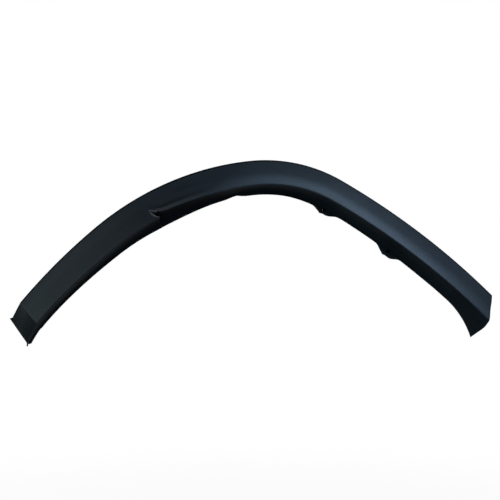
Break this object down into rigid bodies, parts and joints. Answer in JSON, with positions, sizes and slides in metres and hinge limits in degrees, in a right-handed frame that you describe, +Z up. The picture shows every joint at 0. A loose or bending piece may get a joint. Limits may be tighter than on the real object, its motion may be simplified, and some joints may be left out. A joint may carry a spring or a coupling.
{
  "type": "wheel arch trim",
  "caption": "One-piece moulded trim that arches over a wheel and wraps the edge of a wing, with a creased face, an inner lip, a notch and two screw ears.",
  "frame": {"origin": "the seat of the screw in the upper ear, on the axis of its hole", "axes": "+X along the vehicle, from the folded left end to the flared right end, +Y into the vehicle, away from the viewer, and +Z up"},
  "size_m": [0.9339, 0.1092, 0.3423],
  "materials": {
    "trim": "finely grained, unpainted black moulding with a soft sheen"
  },
  "bodies": {
    "root": {"arch_trim": "trim"}
  },
  "joints": []
}
